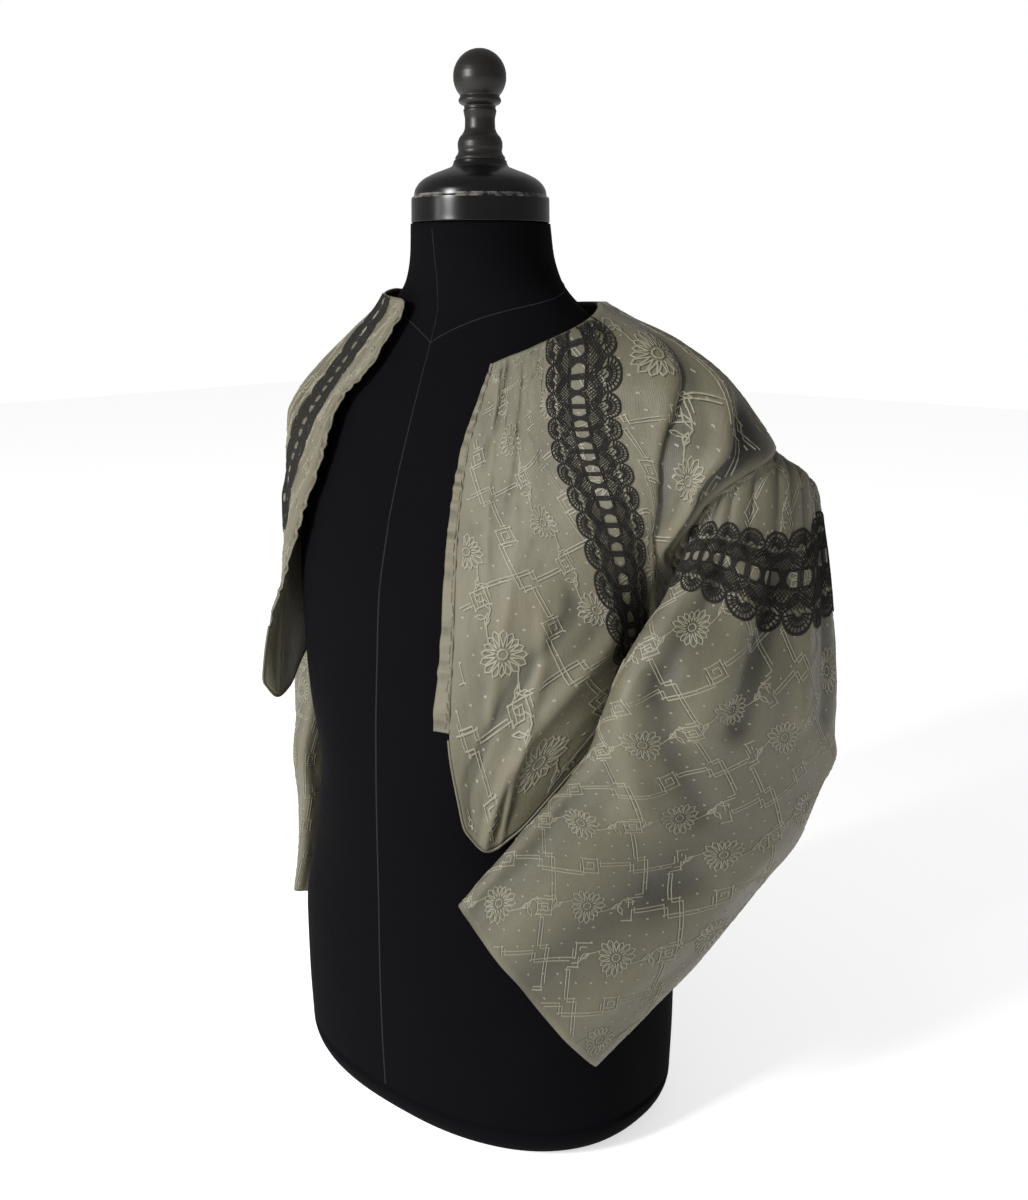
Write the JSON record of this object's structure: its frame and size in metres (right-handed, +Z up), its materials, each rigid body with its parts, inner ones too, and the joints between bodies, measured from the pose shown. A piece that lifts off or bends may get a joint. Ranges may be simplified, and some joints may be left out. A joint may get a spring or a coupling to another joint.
{
  "type": "embroidered jacket on dress form",
  "caption": "Short open silk jacket with applied lace bands and wide sleeves, standing on a black limbless dress form with a turned finial.",
  "frame": {"origin": "centre of the form's flat base, on its underside", "axes": "+Z up, the form faces -Y, the wearer's left side is +X"},
  "size_m": [0.5528, 0.2854, 0.8368],
  "materials": {
    "silk": "grey-green shot silk damask, softly lustrous",
    "lace": "black bobbin lace",
    "cover": "black cotton cover, matte",
    "gloss": "turned wood, gloss black lacquer, worn on its step",
    "turned": "turned wood, worn brown-black polish"
  },
  "bodies": {
    "root": {"back": "silk", "band_left": "silk", "band_right": "silk", "form_finial": "turned", "form_neck_cap": "gloss", "form_torso": "cover", "front_left": "silk", "front_right": "silk", "lace_front_left": "lace", "lace_front_right": "lace", "lace_sleeve_left": "lace", "lace_sleeve_right": "lace", "piping_left": "silk", "piping_right": "silk", "sleeve_left": "silk", "sleeve_right": "silk"}
  },
  "joints": []
}
